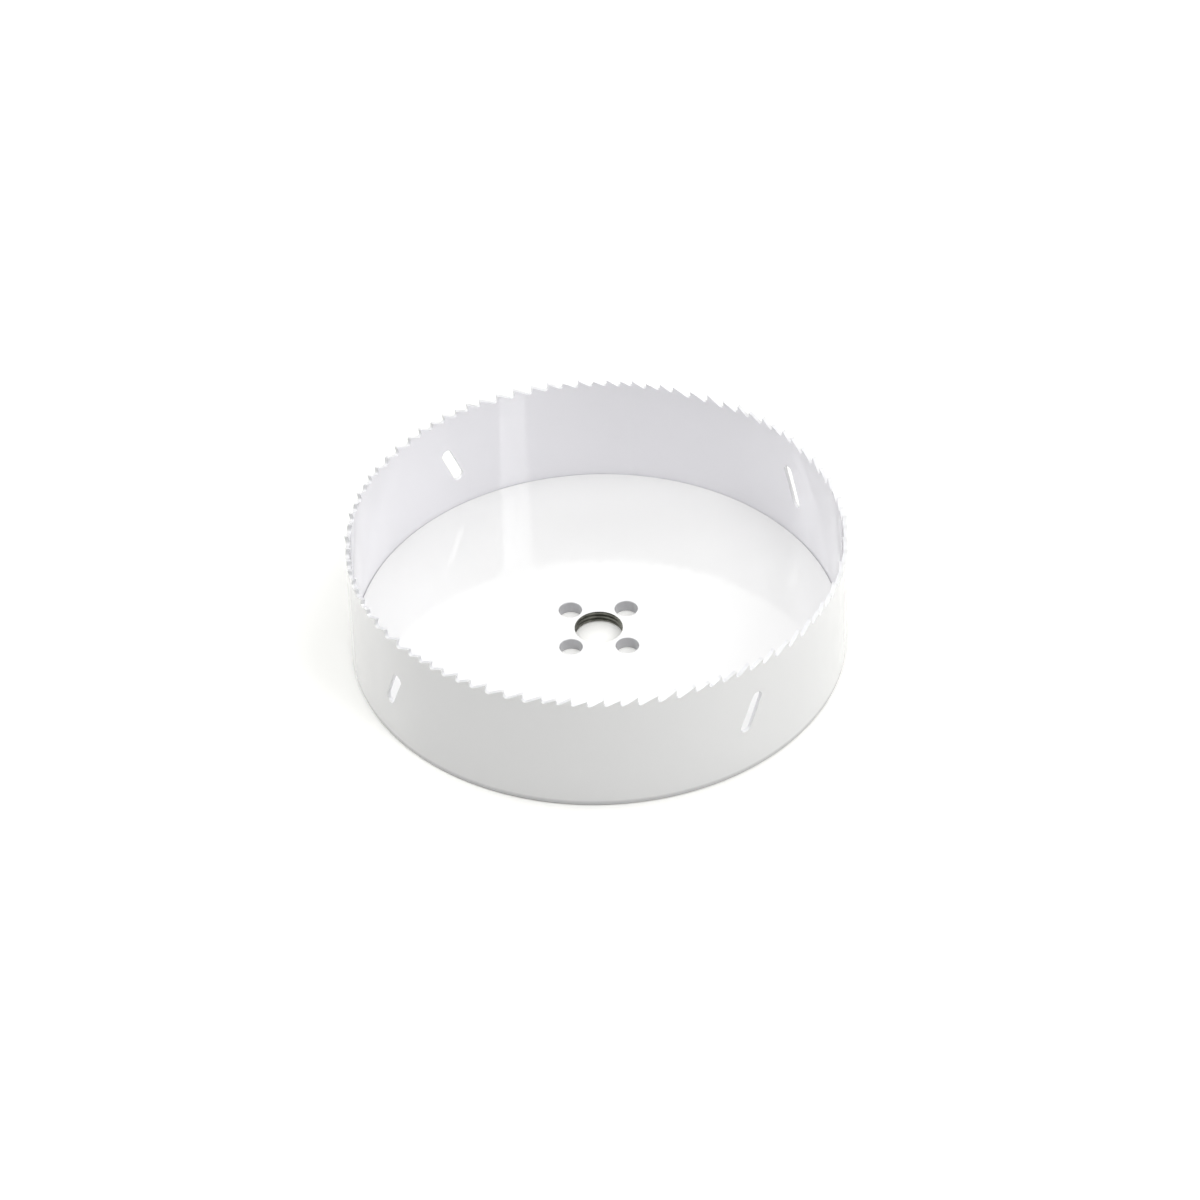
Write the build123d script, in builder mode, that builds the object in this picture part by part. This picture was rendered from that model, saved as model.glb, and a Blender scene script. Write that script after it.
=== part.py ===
"""Hole saw: a toothed steel band rolled into a ring and welded round a thick, tapped cap plate.

Millimetres and degrees. The origin is the centre of the cap plate's back face, where the arbor
seats, and +Z points out of the cup, towards the teeth. Angles round the saw start at +X and
turn anticlockwise seen from the teeth, which is the way the saw cuts.
"""

import os
from math import acos, atan2, cos, degrees, hypot, pi, radians, sin

from build123d import *

# The saw as a whole
cutting_diameter = 152.4  # over the teeth that lean outwards
overall_height = 41.3  # from the cap plate's back face to the tooth tips

# The band: a strip, its ends butt-welded together
band_thickness = 1.27
weld_angle = 80.4  # where the strip's two ends meet
weld_width = 3.0  # ground stripe over the butt weld, on both faces
weld_grind = 0.08  # how deep the grinding went
band_back_break = 0.3  # chamfer on the outer back corner

# The teeth
tooth_pitches = (4.45, 4.35, 4.65, 5.0, 4.8, 5.2, 5.85, 5.8, 5.85)  # one group, along the outer face
tooth_leans = (0, 1, -1, 1, -1, 1, -1, 1, -1)  # one group: 0 straight, 1 outwards, -1 inwards
tooth_set = 0.35  # how far a leaning tip stands out from the band's face
closing_pitch_min = 3.0  # the shortest pitch left over at the butt weld
first_tip_from_weld = 3.9  # along the outer face, from the middle of the butt weld
gullet_depth_ratio = 0.47  # of the pitch, so that every tooth's back slopes alike
gullet_radius_ratio = 0.16  # of the pitch
set_start = 0.5  # the teeth start to lean this far above the deepest gullet
rake_angle = 6.0  # the cutting face leans forwards, from the foot to the tip
tip_land = 0.15  # flat on top of each tooth

# The chip slots through the band, a little unevenly placed
slot_angles = (35.0, 126.5, 215.8, 305.9)
slot_width = 3.5
slot_length = 14.2
slot_lean = 23.0  # from upright, the top further round the way the saw cuts
slot_height = 21.5  # centre above the back face, on average
slot_height_offsets = (1.0, -0.8, -1.2, 1.1)  # each slot's own, from that average

# The cap plate
cap_thickness = 4.0
cap_clearance = 0.05  # radial slip fit inside the band
cap_front_break = 0.4
weld_groove = 1.6  # chamfer at the back rim, filled by the ring weld

# The arbor's thread, 5/8-18: a plain bore at its minor diameter
thread_minor_diameter = 14.5
thread_back_break = 0.5
thread_front_break = 0.3

# The drive pin holes
pin_count = 4
pin_circle_diameter = 24.3
pin_first_angle = 45.0
pin_hole_diameter = 7.0

# Worked out from the above
band_radius = cutting_diameter / 2 - tooth_set
band_bore_radius = band_radius - band_thickness
lean_height = overall_height - gullet_depth_ratio * max(tooth_pitches) + set_start
cap_radius = band_bore_radius - cap_clearance
cutter_reach = 2 * (band_thickness + tooth_set)  # cutters clear both faces of the band by this
circumference = 2 * pi * band_radius


def lay_out_tips():
    """Places of the tooth tips along the outer face, from the first tip after the butt weld."""
    places = [0.0]
    while True:
        pitch = tooth_pitches[(len(places) - 1) % len(tooth_pitches)]
        if places[-1] + pitch + closing_pitch_min > circumference:
            return places
        places.append(places[-1] + pitch)


def angle_at(place):
    """Angle round the saw of a place along the outer face, counted from the first tip."""
    return weld_angle + degrees((first_tip_from_weld + place) / band_radius)


def section_plane(angle):
    """Upright plane through the saw's axis: local X is the radius and local Y is the height."""
    out = Vector(1, 0, 0).rotate(Axis.Z, angle)
    return Plane(origin=(0, 0, 0), x_dir=out, z_dir=out.cross(Vector(0, 0, 1)))


def face_plane(angle):
    """Upright plane that touches the band's outer face: local X runs on the way the saw cuts."""
    out = Vector(1, 0, 0).rotate(Axis.Z, angle)
    return Plane(origin=out * band_radius, x_dir=Vector(0, 0, 1).cross(out), z_dir=out)


def gullet_outline(pitch):
    """Lines of one gullet, from the cutting face of one tooth to the tip of the tooth behind it.

    The cutting face and the back of the next tooth are both tangent to the gullet's floor arc.
    """
    rake = radians(rake_angle)
    depth = pitch * gullet_depth_ratio
    radius = pitch * gullet_radius_ratio
    tip = Vector(-pitch / 2, overall_height)
    next_land = Vector(pitch / 2 - tip_land, overall_height)
    centre_drop = depth - radius
    centre = tip + Vector((radius - centre_drop * sin(rake)) / cos(rake), -centre_drop)
    rake_foot = centre + Vector(-cos(rake), sin(rake)) * radius
    floor = centre - Vector(0, radius)
    to_land = next_land - centre
    swing = atan2(to_land.Y, to_land.X) - acos(radius / hypot(to_land.X, to_land.Y))
    back_foot = centre + Vector(cos(swing), sin(swing)) * radius
    clear = Vector(0, depth)
    Line(tip, rake_foot)
    ThreePointArc(rake_foot, floor, back_foot)
    Polyline(back_foot, next_land, next_land + clear, tip + clear, tip)


tips = lay_out_tips()
pitches = [b - a for a, b in zip(tips, tips[1:] + [circumference])]
leans = [tooth_leans[i % len(tooth_leans)] for i in range(len(tips))]

with BuildPart() as saw_band:
    # The wall, straight up to the tooth tips
    with BuildSketch(Plane.XZ):
        with Locations((band_bore_radius, 0)):
            Rectangle(band_thickness, overall_height, align=(Align.MIN, Align.MIN))
    revolve(axis=Axis.Z)
    back_edges = saw_band.edges().group_by(Axis.Z)[0].sort_by(SortBy.RADIUS)
    chamfer(back_edges[-1], band_back_break)

    # The set: a leaning tooth gains a wedge on one face and loses one from the other, and both
    # reach back to the tip before it
    leaning_teeth = {}
    for place, pitch_before, lean in zip(tips, pitches[-1:] + pitches[:-1], leans):
        if lean != 0:
            start = section_plane(angle_at(place - pitch_before + tip_land))
            leaning_teeth.setdefault((lean, round(pitch_before, 6)), []).append(start)
    for (lean, pitch), planes in leaning_teeth.items():
        for face_radius, outwards in ((band_radius, 1), (band_bore_radius, -1)):
            with BuildSketch(*planes):
                with BuildLine():
                    Polyline(
                        (face_radius, lean_height),
                        (face_radius + lean * tooth_set, overall_height),
                        (face_radius, overall_height),
                        close=True,
                    )
                make_face()
            wedge_arc = degrees(pitch / band_radius)
            wedge_mode = Mode.ADD if lean == outwards else Mode.SUBTRACT
            revolve(axis=Axis.Z, revolution_arc=wedge_arc, mode=wedge_mode)

    # The gullets, milled straight through
    gullets = {}
    for place, pitch in zip(tips, pitches):
        middle = angle_at(place + pitch / 2)
        gullets.setdefault(round(pitch, 6), []).append(face_plane(middle))
    for pitch, planes in gullets.items():
        with BuildSketch(*planes):
            with BuildLine():
                gullet_outline(pitch)
            make_face()
        extrude(amount=cutter_reach, both=True, mode=Mode.SUBTRACT)

    # The chip slots
    for angle, height_offset in zip(slot_angles, slot_height_offsets):
        with BuildSketch(face_plane(angle)):
            with Locations((0, slot_height + height_offset)):
                SlotOverall(slot_length, slot_width, rotation=90 - slot_lean)
        extrude(amount=cutter_reach, both=True, mode=Mode.SUBTRACT)

    # The ground stripe over the butt weld, inside and out
    weld_arc = degrees(weld_width / band_radius)
    with BuildSketch(section_plane(weld_angle - weld_arc / 2)):
        with Locations((band_radius - weld_grind, 0)):
            Rectangle(cutter_reach, overall_height, align=(Align.MIN, Align.MIN))
        with Locations((band_bore_radius + weld_grind, 0)):
            Rectangle(cutter_reach, overall_height, align=(Align.MAX, Align.MIN))
    revolve(axis=Axis.Z, revolution_arc=weld_arc, mode=Mode.SUBTRACT)

with BuildPart() as cap_plate:
    with BuildSketch():
        Circle(cap_radius)
        Circle(thread_minor_diameter / 2, mode=Mode.SUBTRACT)
        with PolarLocations(pin_circle_diameter / 2, pin_count, start_angle=pin_first_angle):
            Circle(pin_hole_diameter / 2, mode=Mode.SUBTRACT)
    extrude(amount=cap_thickness)
    back_rims = cap_plate.edges().group_by(Axis.Z)[0].sort_by(SortBy.RADIUS)
    front_rims = cap_plate.edges().group_by(Axis.Z)[-1].sort_by(SortBy.RADIUS)
    thread_rim_back = back_rims[-2]
    thread_rim_front = front_rims[-2]
    chamfer(back_rims[-1], weld_groove)
    chamfer(front_rims[-1], cap_front_break)
    chamfer(thread_rim_back, thread_back_break)
    chamfer(thread_rim_front, thread_front_break)

with BuildPart() as ring_weld:
    # Weld metal in the groove between cap plate and band, ground flush with the back face
    with BuildSketch(Plane.XZ):
        with BuildLine():
            Polyline(
                (cap_radius - weld_groove, 0),
                (band_bore_radius, 0),
                (band_bore_radius, weld_groove),
                (cap_radius, weld_groove),
                close=True,
            )
        make_face()
    revolve(axis=Axis.Z)

os.makedirs("parts", exist_ok=True)
for name, piece in (("saw_band", saw_band), ("cap_plate", cap_plate), ("ring_weld", ring_weld)):
    piece.part.label = name
    export_step(piece.part, f"parts/{name}.step")
print("teeth", len(tips), "pitch at the weld", round(pitches[-1], 2))
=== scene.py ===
from math import acos, atan2, cos, pi, radians, sin, tan

import bpy
import numpy as np
from mathutils import Matrix, Vector
from mathutils.geometry import delaunay_2d_cdt
from mathutils.kdtree import KDTree


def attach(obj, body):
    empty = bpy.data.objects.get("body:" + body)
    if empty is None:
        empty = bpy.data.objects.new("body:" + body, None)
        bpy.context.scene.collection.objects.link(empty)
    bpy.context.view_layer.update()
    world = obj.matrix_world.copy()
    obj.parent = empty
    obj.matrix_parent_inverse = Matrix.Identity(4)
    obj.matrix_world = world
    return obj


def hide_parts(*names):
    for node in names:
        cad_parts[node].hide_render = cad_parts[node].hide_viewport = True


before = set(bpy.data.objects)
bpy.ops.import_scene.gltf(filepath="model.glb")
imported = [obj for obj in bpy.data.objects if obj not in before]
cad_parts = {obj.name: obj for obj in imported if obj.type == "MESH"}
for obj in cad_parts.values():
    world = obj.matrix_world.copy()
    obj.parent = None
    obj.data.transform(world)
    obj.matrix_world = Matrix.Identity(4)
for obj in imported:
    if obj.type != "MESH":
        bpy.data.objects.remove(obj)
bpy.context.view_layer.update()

# ------------------------------------------------------------------------------- the saw band
# A strip of bi-metal: spring steel with a high-speed steel edge. The gullets and the chip slots
# are milled into the flat strip, the teeth are set in and out, then the strip is rolled, its
# ends are butt-welded, and the weld is ground down inside and out. White enamel covers it all.

MM = 0.001

cutting_diameter = 152.4 * MM  # over the teeth that lean outwards
overall_height = 41.3 * MM
band_thickness = 1.27 * MM
tooth_set = 0.35 * MM
band_radius = cutting_diameter / 2 - tooth_set
band_bore_radius = band_radius - band_thickness
circumference = 2 * pi * band_radius

# The teeth: one group of pitches and leans, repeated along the strip
tooth_pitches = [p * MM for p in (4.45, 4.35, 4.65, 5.0, 4.8, 5.2, 5.85, 5.8, 5.85)]
tooth_leans = (0, 1, -1, 1, -1, 1, -1, 1, -1)  # 0 straight, 1 outwards, -1 inwards
closing_pitch_min = 3.0 * MM
gullet_depth_ratio = 0.47
gullet_radius_ratio = 0.16
rake_angle = radians(6.0)
tip_land = 0.15 * MM
deepest_gullet = overall_height - gullet_depth_ratio * max(tooth_pitches)
set_start = deepest_gullet + 0.5 * MM  # the teeth start to lean here
tooth_edge_round = 0.05 * MM  # what the enamel leaves of the milled arris

# The butt weld
weld_angle = radians(80.4)
weld_width = 3.0 * MM
weld_hollow = 0.08 * MM
first_tip_from_weld = 3.9 * MM
first_tip_angle = weld_angle + first_tip_from_weld / band_radius

# The chip slots, a little unevenly placed
slot_angles = [radians(a) for a in (35.0, 126.5, 215.8, 305.9)]
slot_heights = [z * MM for z in (22.5, 20.7, 20.3, 22.6)]
slot_width = 3.5 * MM
slot_length = 14.2 * MM
slot_lean = radians(23.0)
slot_edge_round = 0.2 * MM

# The back edge: a ground chamfer outside, the ring weld inside
back_outer_round = 0.7 * MM
back_inner_round = 0.05 * MM

# Fineness of the mesh
round_steps = 3
rake_parts, floor_parts, tooth_back_parts = 2, 7, 4
slot_side_parts, slot_end_parts = 8, 10
strip_end_rows, stripe_rows = 28, 24
stripe_lines = (-1, -0.67, -0.33, 0, 0.33, 0.67, 1)  # across the stripe, from edge to edge
wall_spacing = 1.5 * MM
tooth_spacing = 0.7 * MM
stripe_top = overall_height - 3.2 * MM
gullet_level = overall_height - 3.5 * MM  # the finer spacing starts here
crease_angle = radians(35)  # sharper edges than this stay sharp
merge_distance = 0.002 * MM
point_tolerance = 0.00001 * MM
wall_clearance = 0.55  # of the spacing, between loose points and walls


def stretch(start, end, parts):
    """Points from start towards end, without the end."""
    return [start.lerp(end, i / parts) for i in range(parts)]


def arc(centre, radius, start, sweep, parts):
    """Points along an arc, without its last one."""
    turns = [start + sweep * i / parts for i in range(parts)]
    return [centre + radius * Vector((cos(a), sin(a))) for a in turns]


def gullet(tip_place, pitch):
    """From one tooth's tip down its cutting face, round the floor and up the next tooth's back."""
    radius = pitch * gullet_radius_ratio
    drop = pitch * gullet_depth_ratio - radius
    tip = Vector((tip_place, overall_height))
    land = tip + Vector((pitch - tip_land, 0))
    centre = tip + Vector(((radius - drop * sin(rake_angle)) / cos(rake_angle), -drop))
    to_land = land - centre
    swing = atan2(to_land.y, to_land.x) - acos(radius / to_land.length)
    foot_turn = pi - rake_angle
    rake_foot = centre + radius * Vector((cos(foot_turn), sin(foot_turn)))
    back_foot = centre + radius * Vector((cos(swing), sin(swing)))
    floor = arc(centre, radius, foot_turn, 2 * pi + swing - foot_turn, floor_parts)
    back = stretch(back_foot, land, tooth_back_parts) + [land]
    return stretch(tip, rake_foot, rake_parts) + floor + back


def slot(place, height):
    """A round-ended slot, its top further round the way the saw cuts."""
    up = Vector((sin(slot_lean), cos(slot_lean)))
    across = Vector((up.y, -up.x)) * slot_width / 2
    centre = Vector((place, height))
    reach = up * (slot_length - slot_width) / 2
    turn = atan2(across.y, across.x)
    top, foot = centre + reach, centre - reach
    right = stretch(foot + across, top + across, slot_side_parts)
    left = stretch(top - across, foot - across, slot_side_parts)
    over = arc(top, slot_width / 2, turn, pi, slot_end_parts)
    under = arc(foot, slot_width / 2, turn + pi, pi, slot_end_parts)
    return (right + over + left + under)[::-1]


def is_hole(line):
    """Whether a closed line runs clockwise, with the material outside it."""
    x, z = line.T
    return np.sum(x * np.roll(z, -1) - np.roll(x, -1) * z) < 0


def inside(line, points):
    """Which of the points lie inside a closed line."""
    x, z = points.T
    found = np.zeros(len(points), bool)
    for (ax, az), (bx, bz) in zip(line, np.roll(line, -1, axis=0)):
        if az != bz:
            found ^= ((az > z) != (bz > z)) & (x < (bx - ax) * (z - az) / (bz - az) + ax)
    return found


def sheet_mesh(name, edges, joints, points, thickness):
    """Closed sheet between milled edges, lying along X and Z with its near face at Y 0.

    Each edge has its line, with the material on the left, whether it is closed, how far its near
    and far arrises are rounded, in how many steps, and whether it has a wall of its own. Joints
    are lines that both faces follow, and points lie in both faces. The normal of each corner is
    kept in an attribute, so that the rounded arrises shade as curves and the faces stay clean.
    """
    corners, faces, normals, rounded = [], [], [], []
    outlines = {"near": [], "far": []}
    for line, closed, near, far, steps, walled in edges:
        line = np.array(line)
        ahead = np.roll(line, -1, axis=0) - line
        if not closed:
            ahead[-1] = ahead[-2]
        left = np.stack((-ahead[:, 1], ahead[:, 0]), axis=1)
        left /= np.linalg.norm(left, axis=1)[:, None]
        before = np.roll(left, 1, axis=0)
        if not closed:
            before[0] = left[0]
        likeness = np.sum(left * before, axis=1)[:, None]
        inwards = (left + before) / (1 + likeness)
        sharp = likeness[:, 0] < cos(crease_angle)
        quarter = [pi / 2 * i / steps for i in range(steps + 1)]
        section = [(near * (1 - sin(a)), near * (1 - cos(a)), sin(a), -cos(a)) for a in quarter]
        section += [
            (far * (1 - sin(a)), thickness - far * (1 - cos(a)), sin(a), cos(a))
            for a in reversed(quarter)
        ]
        rings = [line + inwards * inset for inset, *_ in section]
        outlines["near"].append((rings[0], closed))
        outlines["far"].append((rings[-1], closed))
        if not walled:
            continue
        first = len(corners)
        count = len(line)
        for ring, (_, depth, out, _) in zip(rings, section):
            corners += [(x, depth, z) for x, z in ring]
            rounded += [out] * count
        for i in range(count if closed else count - 1):
            j = (i + 1) % count
            at_i = left[i] if sharp[i] else (left[i] + before[i]) / 2
            at_j = left[i] if sharp[j] else (left[i] + left[j]) / 2
            at_i, at_j = at_i / np.linalg.norm(at_i), at_j / np.linalg.norm(at_j)
            for k in range(len(section) - 1):
                row, next_row = first + k * count, first + (k + 1) * count
                faces.append((row + i, next_row + i, next_row + j, row + j))
                for away, level in ((at_i, k), (at_i, k + 1), (at_j, k + 1), (at_j, k)):
                    _, _, out, facing = section[level]
                    normals.append((-away[0] * out, facing, -away[1] * out))
    for side, depth, facing in (("near", 0, -1), ("far", thickness, 1)):
        ends, walls = [], []
        for line, closed in outlines[side] + [(joint, False) for joint in joints(outlines[side])]:
            first = len(ends)
            ends += [Vector(p) for p in line]
            walls += [(first + i, first + i + 1) for i in range(len(line) - 1)]
            if closed:
                walls.append((len(ends) - 1, first))
        spots, _, triangles, *_ = delaunay_2d_cdt(ends + points, walls, [], 1, point_tolerance)
        triangles = np.array(triangles)
        middles = np.array(spots)[triangles].mean(axis=1)
        for line, closed in outlines[side]:
            if closed and is_hole(line):
                clear = ~inside(line, middles)
                triangles, middles = triangles[clear], middles[clear]
        used, triangles = np.unique(triangles, return_inverse=True)
        triangles = triangles.reshape(-1, 3)[:, ::-facing] + len(corners)
        corners += [(spots[i].x, depth, spots[i].y) for i in used]
        rounded += [0.0] * len(used)
        faces += triangles.tolist()
        normals += [(0, facing, 0)] * 3 * len(triangles)
    mesh = bpy.data.meshes.new(name)
    mesh.from_pydata(corners, [], faces)
    mesh.shade_smooth()
    kept = mesh.attributes.new("sheet_normal", "FLOAT_VECTOR", "CORNER")
    kept.data.foreach_set("vector", np.ravel(normals).astype(np.float32))
    arris = mesh.attributes.new("arris", "FLOAT", "POINT")
    arris.data.foreach_set("value", np.array(rounded, np.float32))
    return mesh


def loose_points(spacing, x_range, z_range, walls):
    """Grid of points that keeps clear of every wall point."""
    tree = KDTree(len(walls))
    for i, p in enumerate(walls):
        tree.insert((p[0], p[1], 0), i)
    tree.balance()
    columns = round((x_range[1] - x_range[0]) / spacing)
    rows = round((z_range[1] - z_range[0]) / spacing)
    found = []
    for i in range(1, columns):
        for j in range(1, rows):
            x = x_range[0] + (x_range[1] - x_range[0]) * i / columns
            z = z_range[0] + (z_range[1] - z_range[0]) * j / rows
            if tree.find((x, z, 0))[2] > wall_clearance * spacing:
                found.append(Vector((x, z)))
    return found


# The strip's outline: X runs along it from the first tip, Z is the height
tip_places = [0.0]
while True:
    next_place = tip_places[-1] + tooth_pitches[(len(tip_places) - 1) % len(tooth_pitches)]
    if next_place + closing_pitch_min > circumference:
        break
    tip_places.append(next_place)
pitches = [b - a for a, b in zip(tip_places, tip_places[1:] + [circumference])]
leans = [tooth_leans[i % len(tooth_leans)] for i in range(len(tip_places))]

gullets = [gullet(place, pitch) for place, pitch in zip(tip_places, pitches)]
strip_end = rake_parts + floor_parts + 2  # the mesh is cut half way up a tooth's back
round_trip = Vector((circumference, 0))
tooth_line = sum([gullets[0][strip_end:], *gullets[1:]], [])
tooth_line += [p + round_trip for p in gullets[0][: strip_end + 1]]
strip_from, strip_to = tooth_line[0].x, tooth_line[-1].x
back_parts = round(circumference / wall_spacing)
back_line = stretch(Vector((strip_from, 0)), Vector((strip_to, 0)), back_parts)
back_line.append(Vector((strip_to, 0)))

weld_place = circumference - first_tip_from_weld
slots = []
for angle, height in zip(slot_angles, slot_heights):
    slots.append(slot((angle - first_tip_angle) % (2 * pi) * band_radius, height))


def band_joints(outlines):
    """The two ends of the strip, which meet again once it is rolled, and the ground stripe."""
    tops, backs = (line for line, _ in outlines[:2])
    lines = []
    for top, back in ((tops[-1], backs[0]), (tops[0], backs[-1])):
        lines.append(stretch(Vector(back), Vector(top), strip_end_rows) + [Vector(top)])
    for share in stripe_lines:
        x = weld_place + share * weld_width / 2
        foot, head = Vector((x, wall_spacing)), Vector((x, stripe_top))
        lines.append(stretch(foot, head, stripe_rows) + [head])
    return lines


# Each edge: line, closed, near round, far round, steps, walled
band_edges = [
    (tooth_line[::-1], False, tooth_edge_round, tooth_edge_round, round_steps, True),
    (back_line, False, back_outer_round, back_inner_round, round_steps, True),
]
band_edges += [(s, True, slot_edge_round, slot_edge_round, round_steps, True) for s in slots]
wall_points = [p for edge in band_edges for p in edge[0]]
flat_outlines = [(line, closed) for line, closed, *_ in band_edges]
wall_points += [p for joint in band_joints(flat_outlines) for p in joint]
band_points = loose_points(wall_spacing, (strip_from, strip_to), (0, gullet_level), wall_points)
toothed_part = (gullet_level - tooth_spacing, overall_height)
band_points += loose_points(tooth_spacing, (strip_from, strip_to), toothed_part, wall_points)
strip = sheet_mesh("saw_band_strip", band_edges, band_joints, band_points, band_thickness)

# Each tooth leans as a whole, and the lean changes over along the gullet's floor
lean_places, lean_values = [], []
for i in range(len(tip_places) + 1):
    lap, n = divmod(i, len(tip_places))
    place = tip_places[n] + lap * circumference
    lean_places += [place, place + 2 * gullet_radius_ratio * pitches[n]]
    lean_values += [leans[n], leans[(n + 1) % len(leans)]]
along = np.array([v.co.x for v in strip.vertices])
lean = strip.attributes.new("lean", "FLOAT", "POINT")
lean.data.foreach_set("value", np.interp(along, lean_places, lean_values).astype(np.float32))


def add_node(tree, kind, inputs=None, **settings):
    """Adds a node. Inputs go by socket name or number, and are values, sockets or nodes."""
    node = tree.nodes.new(kind)
    for name, value in settings.items():
        setattr(node, name, value)
    for key, value in (inputs or {}).items():
        if isinstance(value, bpy.types.Node):
            value = value.outputs[0]
        if isinstance(value, bpy.types.NodeSocket):
            tree.links.new(value, node.inputs[key])
        else:
            node.inputs[key].default_value = value
    return node


def new_shape_tree(name, sizes, counts=(), materials=("Material",)):
    """Empty Geometry Nodes tree whose inputs are a mesh, named sizes, counts and materials."""
    tree = bpy.data.node_groups.new(name, "GeometryNodeTree")
    tree.interface.new_socket("Mesh", in_out="INPUT", socket_type="NodeSocketGeometry")
    for names, kind in ((sizes, "Float"), (counts, "Int"), (materials, "Material")):
        for input_name in names:
            tree.interface.new_socket(input_name, in_out="INPUT", socket_type="NodeSocket" + kind)
    tree.interface.new_socket("Mesh", in_out="OUTPUT", socket_type="NodeSocketGeometry")
    return tree


def finish(tree, shape, material):
    """Last nodes of a shape: instances are made real and the material is set."""
    real = add_node(tree, "GeometryNodeRealizeInstances", {0: shape})
    return add_node(tree, "GeometryNodeSetMaterial", {"Geometry": real, "Material": material})


def shaped(name, mesh, tree, values):
    """Runs a shape tree on a mesh and returns the result as an object with a plain mesh."""
    piece = bpy.data.objects.new(name, mesh)
    bpy.context.scene.collection.objects.link(piece)
    modifier = piece.modifiers.new("shape", "NODES")
    modifier.node_group = tree
    for item in tree.interface.items_tree:
        if item.in_out == "INPUT" and item.name in values:
            modifier[item.identifier] = values[item.name]
    graph = bpy.context.evaluated_depsgraph_get()
    result = bpy.data.meshes.new_from_object(piece.evaluated_get(graph), depsgraph=graph)
    piece.modifiers.clear()
    piece.data = result
    result.name = name
    return piece


def linear(colour):
    """An sRGB hex colour as linear red, green, blue and alpha."""
    parts = [int(colour[i : i + 2], 16) / 255 for i in (1, 3, 5)]
    return [c / 12.92 if c <= 0.04045 else ((c + 0.055) / 1.055) ** 2.4 for c in parts] + [1.0]


def new_material(name):
    """Empty node material."""
    material = bpy.data.materials.new(name)
    material.use_nodes = True
    material.node_tree.nodes.clear()
    return material


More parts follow.
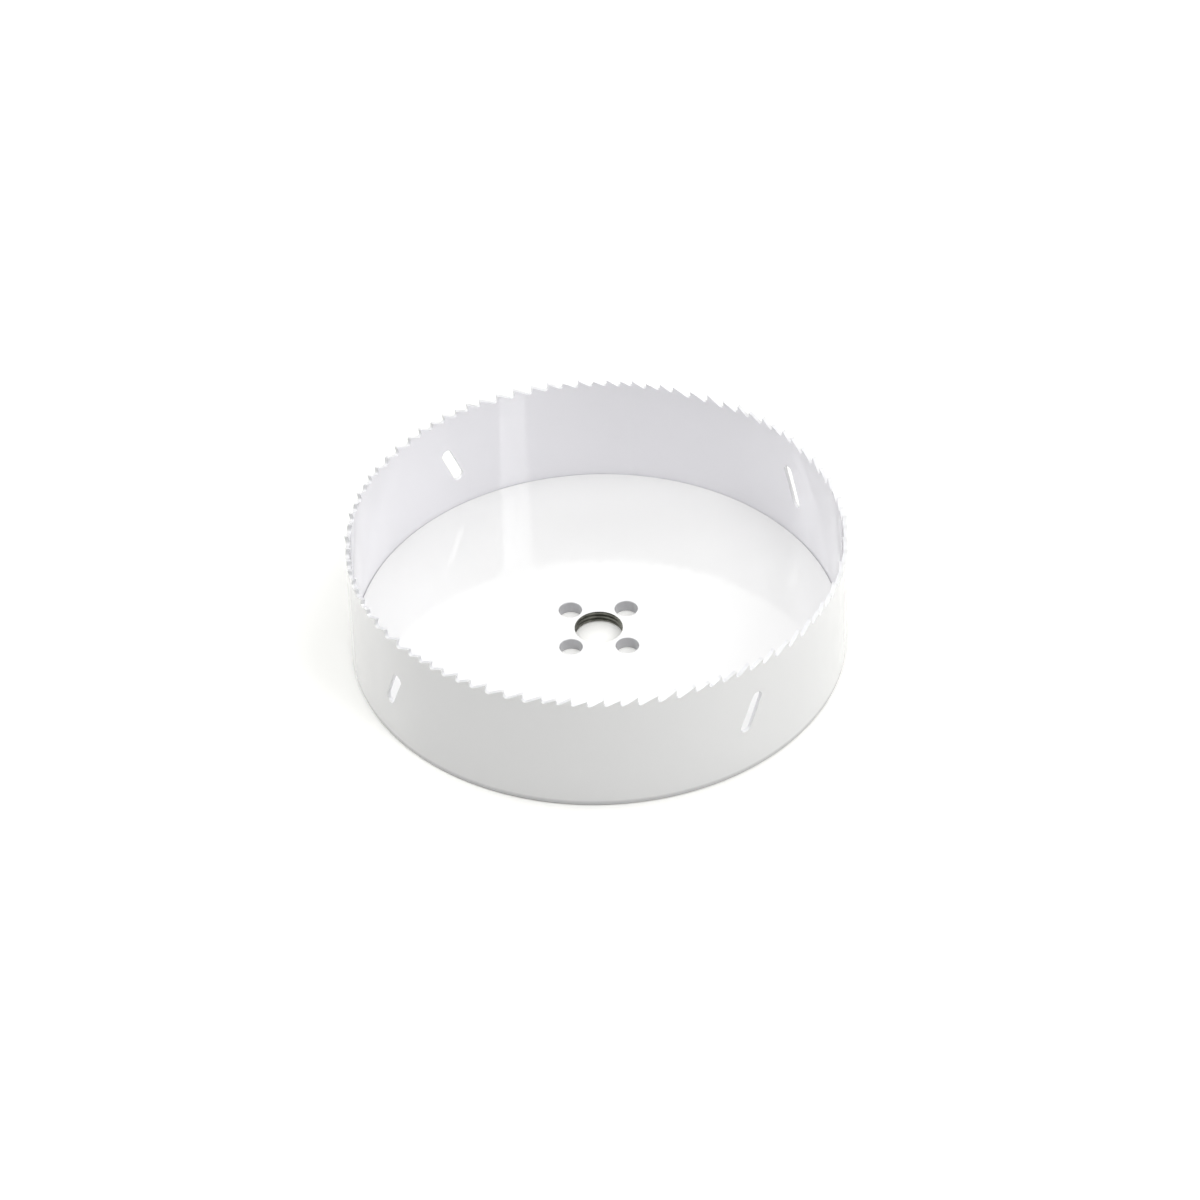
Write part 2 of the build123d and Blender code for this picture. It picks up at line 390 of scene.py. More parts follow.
def baked_white_enamel():
    """White stoving enamel, sprayed and baked: a hard, glossy skin that flows out smooth.

    It gives the eye a clean mirror of its surroundings over a chalk-white body. The spray leaves
    a faint orange peel. It draws back from the milled arrises, which turn greyer. Painted light
    is mixed in as well: a painted cool tint of the light inside the band, painted shade on the
    pin holes' walls, and a painted contact shadow as a grey band along the outside of the back
    edge.
    """
    white = "#EDEDEC"
    # Painted light: a cool tint of the light inside the band, not a colour of the enamel
    painted_cool_light_inside = "#EDECF0"
    thin_on_steel = "#DCDDDE"
    # Painted shade: the grey that stands for the shade inside the pin holes
    painted_shade_in_holes = "#BCBCBE"
    # Painted shadow: the grey of the contact shadow where the saw meets the floor
    painted_contact_shadow_grey = "#CCCCCC"
    peel_size = 1.4 * MM
    peel_depth = 0.05 * MM
    cloud_size = 25 * MM
    # How high the painted contact shadow reaches up the outside wall
    contact_shadow_height = 2.1 * MM
    bore_margin = 0.2 * MM
    half_way_in = band_radius - 0.6 * MM
    pins_within = 0.3 * band_radius
    material = new_material("baked_white_enamel")
    tree = material.node_tree
    place = add_node(tree, "ShaderNodeTexCoord").outputs["Object"]
    clouds = add_node(
        tree, "ShaderNodeTexNoise", {"Vector": place, "Scale": 1 / cloud_size, "Detail": 2.0}
    )
    peel = add_node(
        tree, "ShaderNodeTexNoise", {"Vector": place, "Scale": 1 / peel_size, "Detail": 1.0}
    )

    #     Where the film is thin, and where painted light and painted shade go
    spot = add_node(tree, "ShaderNodeSeparateXYZ", {0: place})
    flat_place = add_node(tree, "ShaderNodeCombineXYZ", {0: spot.outputs[0], 1: spot.outputs[1]})
    radius = add_node(tree, "ShaderNodeVectorMath", {0: flat_place}, operation="LENGTH").outputs[1]
    past_bore = add_node(
        tree,
        "ShaderNodeMath",
        {0: radius, 1: band_bore_radius - bore_margin},
        operation="GREATER_THAN",
    )
    inner_half = add_node(
        tree, "ShaderNodeMath", {0: radius, 1: half_way_in}, operation="LESS_THAN"
    )
    # The band's inside gets the painted cool light tint
    inside_band = add_node(
        tree, "ShaderNodeMath", {0: past_bore, 1: inner_half}, operation="MULTIPLY"
    )
    arris = add_node(tree, "ShaderNodeAttribute", attribute_name="arris").outputs["Fac"]
    thinning = add_node(tree, "ShaderNodeMapRange", {"Value": arris, "To Max": 0.5})
    drift = add_node(tree, "ShaderNodeMapRange", {"Value": clouds, "To Min": 0.0, "To Max": 0.12})
    grey = add_node(
        tree, "ShaderNodeMath", {0: thinning, 1: drift}, operation="ADD", use_clamp=True
    )
    # Painted contact shadow: grey fading in towards the back edge, on the outside only
    near_back = add_node(
        tree,
        "ShaderNodeMapRange",
        {"Value": spot.outputs[2], "From Min": contact_shadow_height, "From Max": contact_shadow_height / 2},
    )
    outside = add_node(
        tree, "ShaderNodeMath", {0: radius, 1: half_way_in}, operation="GREATER_THAN"
    )
    contact_shadow_mask = add_node(tree, "ShaderNodeMath", {0: near_back, 1: outside}, operation="MULTIPLY")
    film = add_node(tree, "ShaderNodeMix", {0: inside_band}, data_type="RGBA")
    film.inputs[6].default_value = linear(white)
    film.inputs[7].default_value = linear(painted_cool_light_inside)
    body = add_node(tree, "ShaderNodeMix", {0: grey, 6: film.outputs[2]}, data_type="RGBA")
    body.inputs[7].default_value = linear(thin_on_steel)
    # Painted shade on the pin holes' walls
    by_pins = add_node(tree, "ShaderNodeMath", {0: radius, 1: pins_within}, operation="LESS_THAN")
    hole_shade_mask = add_node(tree, "ShaderNodeMath", {0: by_pins, 1: arris}, operation="MULTIPLY")
    holed = add_node(tree, "ShaderNodeMix", {0: hole_shade_mask, 6: body.outputs[2]}, data_type="RGBA")
    holed.inputs[7].default_value = linear(painted_shade_in_holes)
    edged = add_node(tree, "ShaderNodeMix", {0: contact_shadow_mask, 6: holed.outputs[2]}, data_type="RGBA")
    edged.inputs[7].default_value = linear(painted_contact_shadow_grey)
    gloss = add_node(tree, "ShaderNodeMapRange", {"Value": clouds, "To Min": 0.05, "To Max": 0.08})
    skin = add_node(
        tree, "ShaderNodeBump", {"Height": peel, "Strength": 0.02, "Distance": peel_depth}
    )
    shader = add_node(
        tree,
        "ShaderNodeBsdfPrincipled",
        {
            "Base Color": edged.outputs[2],
            "Roughness": gloss,
            "Normal": skin,
            "IOR": 1.55,
            "Coat Weight": 0.5,
            "Coat Roughness": 0.03,
            "Coat IOR": 1.5,
        },
    )
    add_node(tree, "ShaderNodeOutputMaterial", {"Surface": shader})
    return material


def roll_and_set():
    """Sets the teeth, grinds the stripe over the butt weld and rolls the strip into a ring."""
    tree = new_shape_tree(
        "roll_and_set",
        ("Radius", "Start angle", "Thickness", "Tooth set", "Set from", "Set to")
        + ("Weld place", "Weld width", "Weld hollow"),
    )
    given = add_node(tree, "NodeGroupInput").outputs
    spot = add_node(tree, "ShaderNodeSeparateXYZ", {0: add_node(tree, "GeometryNodeInputPosition")})
    x, depth, height = spot.outputs

    # The set: nothing at the gullets' floor, the whole of it at the tips
    lean = add_node(tree, "GeometryNodeInputNamedAttribute", {"Name": "lean"}, data_type="FLOAT")
    rise = add_node(
        tree,
        "ShaderNodeMapRange",
        {"Value": height, "From Min": given["Set from"], "From Max": given["Set to"]},
    )
    lean_out = add_node(
        tree, "ShaderNodeMath", {0: lean, 1: given["Tooth set"]}, operation="MULTIPLY"
    )
    rise_squared = add_node(tree, "ShaderNodeMath", {0: rise, 1: rise}, operation="MULTIPLY")
    bend = add_node(tree, "ShaderNodeMath", {0: lean_out, 1: rise_squared}, operation="MULTIPLY")
    reach = add_node(
        tree, "ShaderNodeMath", {0: given["Set to"], 1: given["Set from"]}, operation="SUBTRACT"
    )
    lean_rate = add_node(tree, "ShaderNodeMath", {0: lean_out, 1: reach}, operation="DIVIDE")
    twice = add_node(tree, "ShaderNodeMath", {0: rise, 1: 2.0}, operation="MULTIPLY")
    bend_slope = add_node(tree, "ShaderNodeMath", {0: lean_rate, 1: twice}, operation="MULTIPLY")

    # The ground stripe: a shallow hollow across the weld, on both faces
    half_width = add_node(
        tree, "ShaderNodeMath", {0: given["Weld width"], 1: 0.5}, operation="MULTIPLY"
    )
    off = add_node(tree, "ShaderNodeMath", {0: x, 1: given["Weld place"]}, operation="SUBTRACT")
    share = add_node(tree, "ShaderNodeMath", {0: off, 1: half_width}, operation="DIVIDE")
    share_squared = add_node(tree, "ShaderNodeMath", {0: share, 1: share}, operation="MULTIPLY")
    left = add_node(
        tree, "ShaderNodeMath", {0: 1.0, 1: share_squared}, operation="SUBTRACT", use_clamp=True
    )
    within = add_node(tree, "ShaderNodeMath", {0: share_squared, 1: 1.0}, operation="LESS_THAN")
    middle = add_node(tree, "ShaderNodeMath", {0: given["Thickness"], 1: 0.5}, operation="MULTIPLY")
    over = add_node(tree, "ShaderNodeMath", {0: depth, 1: middle}, operation="SUBTRACT")
    side = add_node(tree, "ShaderNodeMath", {0: over}, operation="SIGN")
    cut = add_node(tree, "ShaderNodeMath", {0: side, 1: given["Weld hollow"]}, operation="MULTIPLY")
    hollow = add_node(tree, "ShaderNodeMath", {0: cut, 1: left}, operation="MULTIPLY")
    steepness = add_node(tree, "ShaderNodeMath", {0: share, 1: -2.0}, operation="MULTIPLY")
    steep_within = add_node(tree, "ShaderNodeMath", {0: steepness, 1: within}, operation="MULTIPLY")
    cut_rate = add_node(tree, "ShaderNodeMath", {0: cut, 1: half_width}, operation="DIVIDE")
    hollow_slope = add_node(
        tree, "ShaderNodeMath", {0: cut_rate, 1: steep_within}, operation="MULTIPLY"
    )

    # The roll
    angle = add_node(tree, "ShaderNodeMath", {0: x, 1: given["Radius"]}, operation="DIVIDE")
    turned = add_node(tree, "ShaderNodeMath", {0: angle, 1: given["Start angle"]}, operation="ADD")
    inset = add_node(tree, "ShaderNodeMath", {0: given["Radius"], 1: depth}, operation="SUBTRACT")
    set_radius = add_node(tree, "ShaderNodeMath", {0: inset, 1: bend}, operation="ADD")
    radius = add_node(tree, "ShaderNodeMath", {0: set_radius, 1: hollow}, operation="ADD")
    upright = add_node(tree, "ShaderNodeCombineXYZ", {0: radius, 2: height})
    rolled = add_node(
        tree, "ShaderNodeVectorRotate", {"Vector": upright, "Angle": turned}, rotation_type="Z_AXIS"
    )

    # The corner normals follow
    kept = add_node(
        tree,
        "GeometryNodeInputNamedAttribute",
        {"Name": "sheet_normal"},
        data_type="FLOAT_VECTOR",
    )
    normal = add_node(tree, "ShaderNodeSeparateXYZ", {0: kept})
    out = add_node(tree, "ShaderNodeMath", {0: normal.outputs[1], 1: -1.0}, operation="MULTIPLY")
    lost_on = add_node(tree, "ShaderNodeMath", {0: hollow_slope, 1: out}, operation="MULTIPLY")
    lost_up = add_node(tree, "ShaderNodeMath", {0: bend_slope, 1: out}, operation="MULTIPLY")
    on = add_node(tree, "ShaderNodeMath", {0: normal.outputs[0], 1: lost_on}, operation="SUBTRACT")
    up = add_node(tree, "ShaderNodeMath", {0: normal.outputs[2], 1: lost_up}, operation="SUBTRACT")
    upright_normal = add_node(tree, "ShaderNodeCombineXYZ", {0: out, 1: on, 2: up})
    rolled_normal = add_node(
        tree,
        "ShaderNodeVectorRotate",
        {"Vector": upright_normal, "Angle": turned},
        rotation_type="Z_AXIS",
    )
    smooth = add_node(
        tree,
        "GeometryNodeSetMeshNormal",
        {"Mesh": given["Mesh"]},
        mode="FREE",
        domain="CORNER",
    )
    tree.links.new(rolled_normal.outputs[0], smooth.inputs["Custom Normal"])
    ring = add_node(tree, "GeometryNodeSetPosition", {"Geometry": smooth, "Position": rolled})
    welded = add_node(
        tree, "GeometryNodeMergeByDistance", {"Geometry": ring, "Distance": merge_distance}
    )
    add_node(tree, "NodeGroupOutput", {0: finish(tree, welded, given["Material"])})
    return tree


enamel = baked_white_enamel()
saw_band = shaped(
    "saw_band_enamelled",
    strip,
    roll_and_set(),
    {
        "Radius": band_radius,
        "Start angle": first_tip_angle,
        "Thickness": band_thickness,
        "Tooth set": tooth_set,
        "Set from": set_start,
        "Set to": overall_height,
        "Weld place": weld_place,
        "Weld width": weld_width,
        "Weld hollow": weld_hollow,
        "Material": enamel,
    },
)
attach(saw_band, "root")
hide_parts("saw_band")

# ------------------------------------------------------------------------------ the cap plate
# A thick steel disc that closes the back of the saw. It is blanked, drilled for the four drive
# pins and enamelled, and the middle is tapped 5/8-18 for the arbor, so its thread is bare steel.

cap_thickness = 4.0 * MM
cap_clearance = 0.05 * MM
cap_radius = band_bore_radius - cap_clearance
cap_front_round = 0.4 * MM
weld_groove = 1.6 * MM
pin_count = 4
pin_circle_radius = 24.3 / 2 * MM
pin_first_angle = radians(45)
pin_hole_radius = 3.5 * MM
pin_edge_round = 0.25 * MM
minor_radius = 7.25 * MM
major_radius = 15.875 / 2 * MM
thread_pitch = 25.4 / 18 * MM
crest_share = 0.25  # the flat crest, as a share of the pitch
flank_angle = radians(60)  # from the saw's axis
bore_front_break = 0.15 * MM
bore_back_break = 0.5 * MM
rim_parts, bore_parts, pin_hole_parts = 288, 144, 64
bore_rows = 73
plate_spacing = 4 * MM


def disc_edge(x, y, radius, parts):
    """A circle, as the edge of a disc."""
    return arc(Vector((x, y)), radius, 0, 2 * pi, parts)


rim = disc_edge(0, 0, cap_radius, rim_parts)
bore = disc_edge(0, 0, minor_radius, bore_parts)[::-1]
cap_edges = [
    (rim, True, cap_front_round, weld_groove, round_steps, True),
    (bore, True, bore_front_break, bore_back_break, 1, False),
]
for i in range(pin_count):
    turn = pin_first_angle + i * 2 * pi / pin_count
    x, y = pin_circle_radius * cos(turn), pin_circle_radius * sin(turn)
    hole = disc_edge(x, y, pin_hole_radius, pin_hole_parts)[::-1]
    cap_edges.append((hole, True, pin_edge_round, pin_edge_round, round_steps, True))
cap_walls = [p for edge in cap_edges for p in edge[0]]
reach = (-cap_radius, cap_radius)
cap_points = loose_points(plate_spacing, reach, reach, cap_walls)
cap_mesh = sheet_mesh("cap_plate_sheet", cap_edges, lambda outlines: [], cap_points, cap_thickness)


def bare_tapped_steel():
    """Mild steel cut by a tap and left with a film of dark oil, so it looks nearly black.

    The tap leaves fine lines that run round the bore.
    """
    oiled_dark = "#41413C"
    oiled_light = "#65655E"
    line_gap = 0.06 * MM
    line_length = 25 / 3 * MM
    line_depth = 0.02 * MM
    oil_patch = 3 * MM
    material = new_material("bare_tapped_steel")
    tree = material.node_tree
    place = add_node(tree, "ShaderNodeTexCoord").outputs["Object"]
    stretch_scale = (1 / line_length, 1 / line_length, 1 / line_gap)
    stretched = add_node(tree, "ShaderNodeMapping", {"Vector": place, "Scale": stretch_scale})
    lines = add_node(tree, "ShaderNodeTexNoise", {"Vector": stretched, "Scale": 1.0, "Detail": 2.0})
    film = add_node(
        tree, "ShaderNodeTexNoise", {"Vector": place, "Scale": 1 / oil_patch, "Detail": 3.0}
    )
    oil = add_node(tree, "ShaderNodeMapRange", {"Value": film, "From Min": 0.3, "From Max": 0.7})
    body = add_node(tree, "ShaderNodeMix", {0: oil}, data_type="RGBA")
    body.inputs[6].default_value = linear(oiled_dark)
    body.inputs[7].default_value = linear(oiled_light)
    gloss = add_node(tree, "ShaderNodeMapRange", {"Value": lines, "To Min": 0.3, "To Max": 0.5})
    cut = add_node(
        tree, "ShaderNodeBump", {"Height": lines, "Strength": 0.3, "Distance": line_depth}
    )
    shader = add_node(
        tree,
        "ShaderNodeBsdfPrincipled",
        {"Base Color": body.outputs[2], "Roughness": gloss, "Normal": cut, "Metallic": 1.0},
    )
    add_node(tree, "ShaderNodeOutputMaterial", {"Surface": shader})
    return material


def lay_and_tap():
    """Lays a sheet flat, its near face up, and taps its bore between two countersinks."""
    tree = new_shape_tree(
        "lay_and_tap",
        ("Thickness", "Minor radius", "Major radius", "Pitch", "Front break", "Back break"),
        ("Parts", "Rows"),
        ("Material", "Thread material"),
    )
    given = add_node(tree, "NodeGroupInput").outputs
    spot = add_node(tree, "ShaderNodeSeparateXYZ", {0: add_node(tree, "GeometryNodeInputPosition")})
    plate_height = add_node(
        tree, "ShaderNodeMath", {0: given["Thickness"], 1: spot.outputs[1]}, operation="SUBTRACT"
    )
    laid = add_node(
        tree, "ShaderNodeCombineXYZ", {0: spot.outputs[0], 1: spot.outputs[2], 2: plate_height}
    )
    kept = add_node(
        tree,
        "GeometryNodeInputNamedAttribute",
        {"Name": "sheet_normal"},
        data_type="FLOAT_VECTOR",
    )
    normal = add_node(tree, "ShaderNodeSeparateXYZ", {0: kept})
    up = add_node(tree, "ShaderNodeMath", {0: normal.outputs[1], 1: -1.0}, operation="MULTIPLY")
    laid_normal = add_node(
        tree, "ShaderNodeCombineXYZ", {0: normal.outputs[0], 1: normal.outputs[2], 2: up}
    )
    smooth = add_node(
        tree, "GeometryNodeSetMeshNormal", {"Mesh": given["Mesh"]}, mode="FREE", domain="CORNER"
    )
    tree.links.new(laid_normal.outputs[0], smooth.inputs["Custom Normal"])
    flat = add_node(tree, "GeometryNodeSetPosition", {"Geometry": smooth, "Position": laid})
    plate = finish(tree, flat, given["Material"])

    # The bore starts as a flat grid of turn by height
    grid = add_node(
        tree,
        "GeometryNodeMeshGrid",
        {
            "Size X": 1.0,
            "Size Y": given["Thickness"],
            "Vertices X": given["Parts"],
            "Vertices Y": given["Rows"],
        },
    )
    turn, level = spot.outputs[0], spot.outputs[1]
    half = add_node(tree, "ShaderNodeMath", {0: given["Thickness"], 1: 0.5}, operation="MULTIPLY")
    height = add_node(tree, "ShaderNodeMath", {0: level, 1: half}, operation="ADD")

    # The thread: 60 degree flanks between a flat crest and a flat root
    turns_up = add_node(tree, "ShaderNodeMath", {0: height, 1: given["Pitch"]}, operation="DIVIDE")
    phase = add_node(tree, "ShaderNodeMath", {0: turns_up, 1: turn}, operation="SUBTRACT")
    wave = add_node(tree, "ShaderNodeMath", {0: phase, 1: 0.5}, operation="PINGPONG")
    from_crest = add_node(
        tree, "ShaderNodeMath", {0: wave, 1: given["Pitch"]}, operation="MULTIPLY"
    )
    crest_flat = add_node(
        tree, "ShaderNodeMath", {0: given["Pitch"], 1: crest_share / 2}, operation="MULTIPLY"
    )
    past = add_node(tree, "ShaderNodeMath", {0: from_crest, 1: crest_flat}, operation="SUBTRACT")
    flank = add_node(tree, "ShaderNodeMath", {0: past, 1: tan(flank_angle)}, operation="MULTIPLY")
    flank_radius = add_node(
        tree, "ShaderNodeMath", {0: flank, 1: given["Minor radius"]}, operation="ADD"
    )
    cut = add_node(
        tree, "ShaderNodeMath", {0: flank_radius, 1: given["Minor radius"]}, operation="MAXIMUM"
    )
    thread = add_node(
        tree, "ShaderNodeMath", {0: cut, 1: given["Major radius"]}, operation="MINIMUM"
    )

    # The countersinks at both ends, and a thread that runs out into them
    depth = add_node(
        tree, "ShaderNodeMath", {0: given["Thickness"], 1: height}, operation="SUBTRACT"
    )
    cones = []
    for away, size in ((depth, "Front break"), (height, "Back break")):
        wide = add_node(
            tree, "ShaderNodeMath", {0: given["Minor radius"], 1: given[size]}, operation="ADD"
        )
        cones.append(add_node(tree, "ShaderNodeMath", {0: wide, 1: away}, operation="SUBTRACT"))
    sunk = add_node(tree, "ShaderNodeMath", {0: cones[0], 1: cones[1]}, operation="MAXIMUM")
    fade = []
    for away, size in ((depth, "Front break"), (height, "Back break")):
        past_end = add_node(
            tree, "ShaderNodeMath", {0: away, 1: given[size]}, operation="DIVIDE", use_clamp=True
        )
        fade.append(past_end)
    open_share = add_node(tree, "ShaderNodeMath", {0: fade[0], 1: fade[1]}, operation="MULTIPLY")
    deep = add_node(
        tree, "ShaderNodeMath", {0: thread, 1: given["Minor radius"]}, operation="SUBTRACT"
    )
    faded = add_node(tree, "ShaderNodeMath", {0: deep, 1: open_share}, operation="MULTIPLY")
    run_out = add_node(
        tree, "ShaderNodeMath", {0: faded, 1: given["Minor radius"]}, operation="ADD"
    )
    radius = add_node(tree, "ShaderNodeMath", {0: run_out, 1: sunk}, operation="MAXIMUM")

    angle = add_node(tree, "ShaderNodeMath", {0: turn, 1: 2 * pi}, operation="MULTIPLY")
    upright = add_node(tree, "ShaderNodeCombineXYZ", {0: radius, 2: height})
    wound = add_node(
        tree, "ShaderNodeVectorRotate", {"Vector": upright, "Angle": angle}, rotation_type="Z_AXIS"
    )
    bored = add_node(tree, "GeometryNodeSetPosition", {"Geometry": grid, "Position": wound})
    facing_in = add_node(tree, "GeometryNodeFlipFaces", {0: bored})
    bend = add_node(tree, "GeometryNodeInputMeshEdgeAngle")
    gentle = add_node(
        tree, "FunctionNodeCompare", {0: bend, 1: crease_angle}, operation="LESS_THAN"
    )
    creased = add_node(
        tree,
        "GeometryNodeSetShadeSmooth",
        {"Geometry": facing_in, "Shade Smooth": gentle},
        domain="EDGE",
    )
    own_normal = add_node(tree, "GeometryNodeInputNormal")
    held = add_node(
        tree, "GeometryNodeSetMeshNormal", {"Mesh": creased}, mode="FREE", domain="CORNER"
    )
    tree.links.new(own_normal.outputs[0], held.inputs["Custom Normal"])
    tapped = finish(tree, held, given["Thread material"])

    # The bore closes on itself and on both faces of the plate
    both = add_node(tree, "GeometryNodeJoinGeometry", {0: tapped})
    tree.links.new(plate.outputs[0], both.inputs[0])
    closed = add_node(
        tree, "GeometryNodeMergeByDistance", {"Geometry": both, "Distance": merge_distance}
    )
    add_node(tree, "NodeGroupOutput", {0: closed})
    return tree


cap_plate = shaped(
    "cap_plate_enamelled",
    cap_mesh,
    lay_and_tap(),
    {
        "Thickness": cap_thickness,
        "Minor radius": minor_radius,
        "Major radius": major_radius,
        "Pitch": thread_pitch,
        "Front break": bore_front_break,
        "Back break": bore_back_break,
        "Parts": bore_parts + 1,
        "Rows": bore_rows,
        "Material": enamel,
        "Thread material": bare_tapped_steel(),
    },
)
cap_plate.data.materials.pop(index=1)  # the grid brings an empty one
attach(cap_plate, "root")
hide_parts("cap_plate")

# ------------------------------------------------------------------------------ the ring weld
# Weld metal that fills the groove between the cap plate and the band. It is ground flush with
# the back and enamelled with the rest, and it still shows the weld's ripples as faint waves.

ripple_length = 2.2 * MM
ripple_depth = 0.05 * MM
ring_parts = 640
ring_section = [
    (cap_radius - weld_groove, 0),
    (cap_radius - weld_groove * 2 / 3, 0),
    (cap_radius - weld_groove / 3, 0),
    (cap_radius, 0),
    (band_bore_radius, 0),
    (band_bore_radius, weld_groove),
    (cap_radius, weld_groove),
]  # each point's radius and height; the ripples are on those between the first and the fifth

ring_corners, ring_faces = [], []
for i in range(ring_parts + 1):
    place = i / ring_parts * 2 * pi * band_bore_radius
    ring_corners += [(place, band_bore_radius - radius, height) for radius, height in ring_section]
side_count = len(ring_section)
for i in range(ring_parts):
    for k in range(side_count):
        here, there, ahead = i * side_count, (i + 1) * side_count, (k + 1) % side_count
        ring_faces.append((here + k, there + k, there + ahead, here + ahead))
ring_mesh = bpy.data.meshes.new("ring_weld_strip")
ring_mesh.from_pydata(ring_corners, [], ring_faces)
rippled = ring_mesh.attributes.new("rippled", "FLOAT", "POINT")
ripple_row = [0.0, 1.0, 1.0, 1.0, 0.0, 0.0, 0.0]
rippled.data.foreach_set("value", ripple_row * (ring_parts + 1))


def roll_bead():
    """Ripples the weld's back face, always into the metal, and rolls the bead into a ring."""
    tree = new_shape_tree("roll_bead", ("Radius", "Half ripple", "Ripple depth"))
    given = add_node(tree, "NodeGroupInput").outputs
    spot = add_node(tree, "ShaderNodeSeparateXYZ", {0: add_node(tree, "GeometryNodeInputPosition")})
    x, depth, height = spot.outputs
    ripple = add_node(
        tree, "ShaderNodeMath", {0: x, 1: given["Half ripple"]}, operation="PINGPONG"
    )
    share = add_node(
        tree, "ShaderNodeMath", {0: ripple, 1: given["Half ripple"]}, operation="DIVIDE"
    )
    rounded = add_node(tree, "ShaderNodeMath", {0: share, 1: share}, operation="MULTIPLY")
    mask = add_node(
        tree, "GeometryNodeInputNamedAttribute", {"Name": "rippled"}, data_type="FLOAT"
    )
    here = add_node(tree, "ShaderNodeMath", {0: rounded, 1: mask}, operation="MULTIPLY")
    rise = add_node(
        tree, "ShaderNodeMath", {0: here, 1: given["Ripple depth"]}, operation="MULTIPLY"
    )
    level = add_node(tree, "ShaderNodeMath", {0: height, 1: rise}, operation="ADD")
    inset = add_node(tree, "ShaderNodeMath", {0: given["Radius"], 1: depth}, operation="SUBTRACT")
    angle = add_node(tree, "ShaderNodeMath", {0: x, 1: given["Radius"]}, operation="DIVIDE")
    upright = add_node(tree, "ShaderNodeCombineXYZ", {0: inset, 2: level})
    rolled = add_node(
        tree, "ShaderNodeVectorRotate", {"Vector": upright, "Angle": angle}, rotation_type="Z_AXIS"
    )
    ring = add_node(
        tree, "GeometryNodeSetPosition", {"Geometry": given["Mesh"], "Position": rolled}
    )
    closed = add_node(
        tree, "GeometryNodeMergeByDistance", {"Geometry": ring, "Distance": merge_distance}
    )
    add_node(tree, "NodeGroupOutput", {0: finish(tree, closed, given["Material"])})
    return tree


ring_weld = shaped(
    "ring_weld_ground",
    ring_mesh,
    roll_bead(),
    {
        "Radius": band_bore_radius,
        "Half ripple": ripple_length / 2,
        "Ripple depth": ripple_depth,
        "Material": enamel,
    },
)
ring_weld.data.shade_smooth()
ring_weld.data.set_sharp_from_angle(angle=crease_angle)
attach(ring_weld, "root")
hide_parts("ring_weld")

# ---------------------------------------------------------------------------- floor and light
# A white sweep in a white room, lit from all round by soft boxes: the strongest hang over the
# front and both sides, and a narrow one draws the bright upright line on the enamel inside.

floor_reach = 3.0
room_light = 0.13  # on the saw and the floor
room_seen = 1.0  # white behind the floor, and in reflections

floor_mesh = bpy.data.meshes.new("floor")
floor_corners = [(-floor_reach, -floor_reach, 0), (floor_reach, -floor_reach, 0)]
floor_corners += [(floor_reach, floor_reach, 0), (-floor_reach, floor_reach, 0)]
floor_mesh.from_pydata(floor_corners, [], [(0, 1, 2, 3)])
floor = bpy.data.objects.new("floor", floor_mesh)
bpy.context.scene.collection.objects.link(floor)


def white_sweep():
    """Matt white paper. Seen straight or in a reflection it is brighter, so that it looks white."""
    paper_white = (0.75, 0.75, 0.75, 1.0)
    paper_seen = (1.035, 1.035, 1.01, 1.0)
    material = new_material("white_sweep")
    tree = material.node_tree
    path = add_node(tree, "ShaderNodeLightPath").outputs
    seen = add_node(
        tree,
        "ShaderNodeMath",
        {0: path["Is Camera Ray"], 1: path["Is Glossy Ray"]},
        operation="ADD",
        use_clamp=True,
    )
    tone = add_node(
        tree, "ShaderNodeMix", {0: seen, 6: paper_white, 7: paper_seen}, data_type="RGBA"
    )
    paper = add_node(tree, "ShaderNodeBsdfDiffuse", {"Color": tone.outputs[2]})
    add_node(tree, "ShaderNodeOutputMaterial", {"Surface": paper})
    return material


floor.data.materials.append(white_sweep())

world = bpy.data.worlds.new("studio")
world.use_nodes = True
world.node_tree.nodes.clear()
path = add_node(world.node_tree, "ShaderNodeLightPath").outputs
seen = add_node(
    world.node_tree,
    "ShaderNodeMath",
    {0: path["Is Camera Ray"], 1: path["Is Glossy Ray"]},
    operation="ADD",
    use_clamp=True,
)
room = add_node(
    world.node_tree,
    "ShaderNodeMapRange",
    {"Value": seen, "To Min": room_light, "To Max": room_seen},
)
air = add_node(world.node_tree, "ShaderNodeBackground", {"Color": (1, 1, 1, 1), "Strength": room})
add_node(world.node_tree, "ShaderNodeOutputWorld", {"Surface": air})
bpy.context.scene.world = world

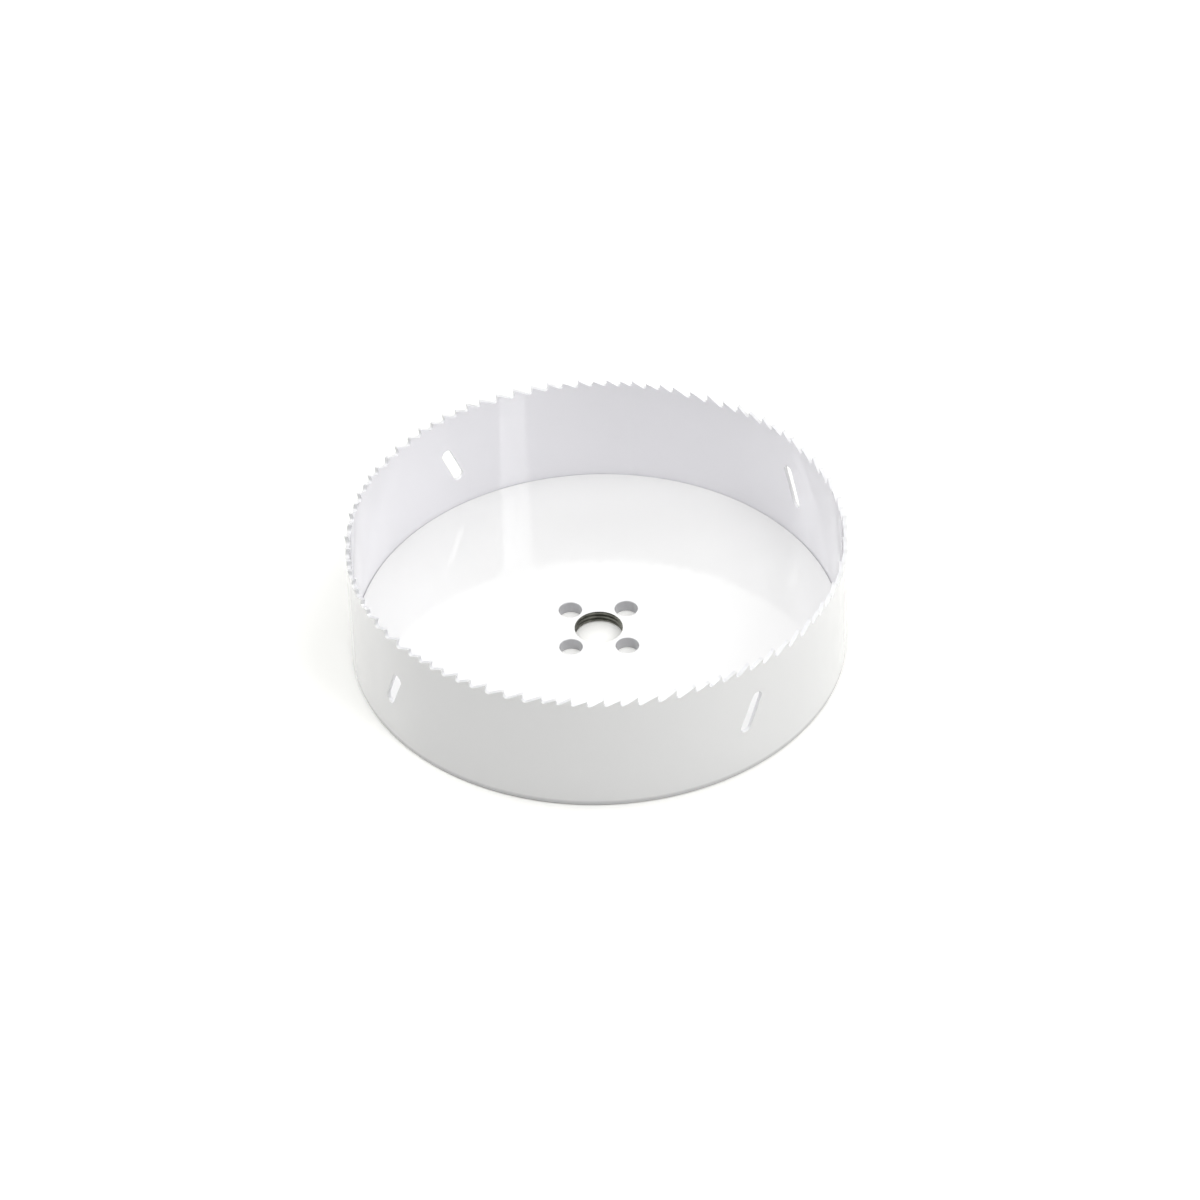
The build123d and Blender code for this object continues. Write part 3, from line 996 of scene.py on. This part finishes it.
# Each soft box: azimuth and elevation in degrees, distance, width and height in metres, watts
soft_boxes = {
    "behind": (90, 45, 1.4, 1.3, 0.75, 1.7),
    "above_front": (-90, 65, 1.4, 1.2, 0.9, 6.3),
    "right": (6, 30, 1.2, 0.7, 0.7, 2.3),
    "right_low": (-15, 12, 1.2, 0.6, 0.3, 0.7),
    "right_high": (0, 62, 1.4, 0.8, 0.8, 3.5),
    "back_right": (50, 30, 1.2, 0.7, 0.7, 2.8),
    "back_left": (140, 30, 1.2, 0.6, 0.6, 2.7),
    "left": (165, 30, 1.2, 0.7, 0.7, 2.15),
    "left_high": (180, 62, 1.4, 0.8, 0.8, 4.2),
    "strip_front_right": (-50, 40, 1.3, 0.25, 0.4, 3.0),
}
for name, (azimuth, elevation, distance, width, height, power) in soft_boxes.items():
    lamp = bpy.data.lights.new(name, "AREA")
    lamp.shape = "RECTANGLE"
    lamp.size, lamp.size_y, lamp.energy = width, height, power
    box = bpy.data.objects.new(name, lamp)
    bpy.context.scene.collection.objects.link(box)
    az, el = radians(azimuth), radians(elevation)
    out = Vector((cos(az) * cos(el), sin(az) * cos(el), sin(el)))
    box.location = out * distance
    box.rotation_euler = out.to_track_quat("Z", "Y").to_euler()

# ------------------------------------------------------------------------------------- camera
camera_elevation = radians(40.606)
camera_roll = radians(-1.494)
camera_distance = 1579.2 * MM
camera_target = Vector((0.61, 0, 15.04)) * MM
picture_size = 1200
focal_pixels = 5179.2
sensor_width = 36.0

lens = bpy.data.cameras.new("camera")
lens.sensor_width = sensor_width
lens.lens = focal_pixels / picture_size * sensor_width
camera = bpy.data.objects.new("camera", lens)
bpy.context.scene.collection.objects.link(camera)
away = Vector((0, -cos(camera_elevation), sin(camera_elevation)))
right = Vector((1, 0, 0))
up = away.cross(right)
right, up = (
    right * cos(camera_roll) + up * sin(camera_roll),
    up * cos(camera_roll) - right * sin(camera_roll),
)
turn = Matrix((right, up, away)).transposed().to_4x4()
camera.matrix_world = Matrix.Translation(camera_target + away * camera_distance) @ turn
bpy.context.scene.camera = camera
bpy.context.scene.view_settings.view_transform = "Standard"
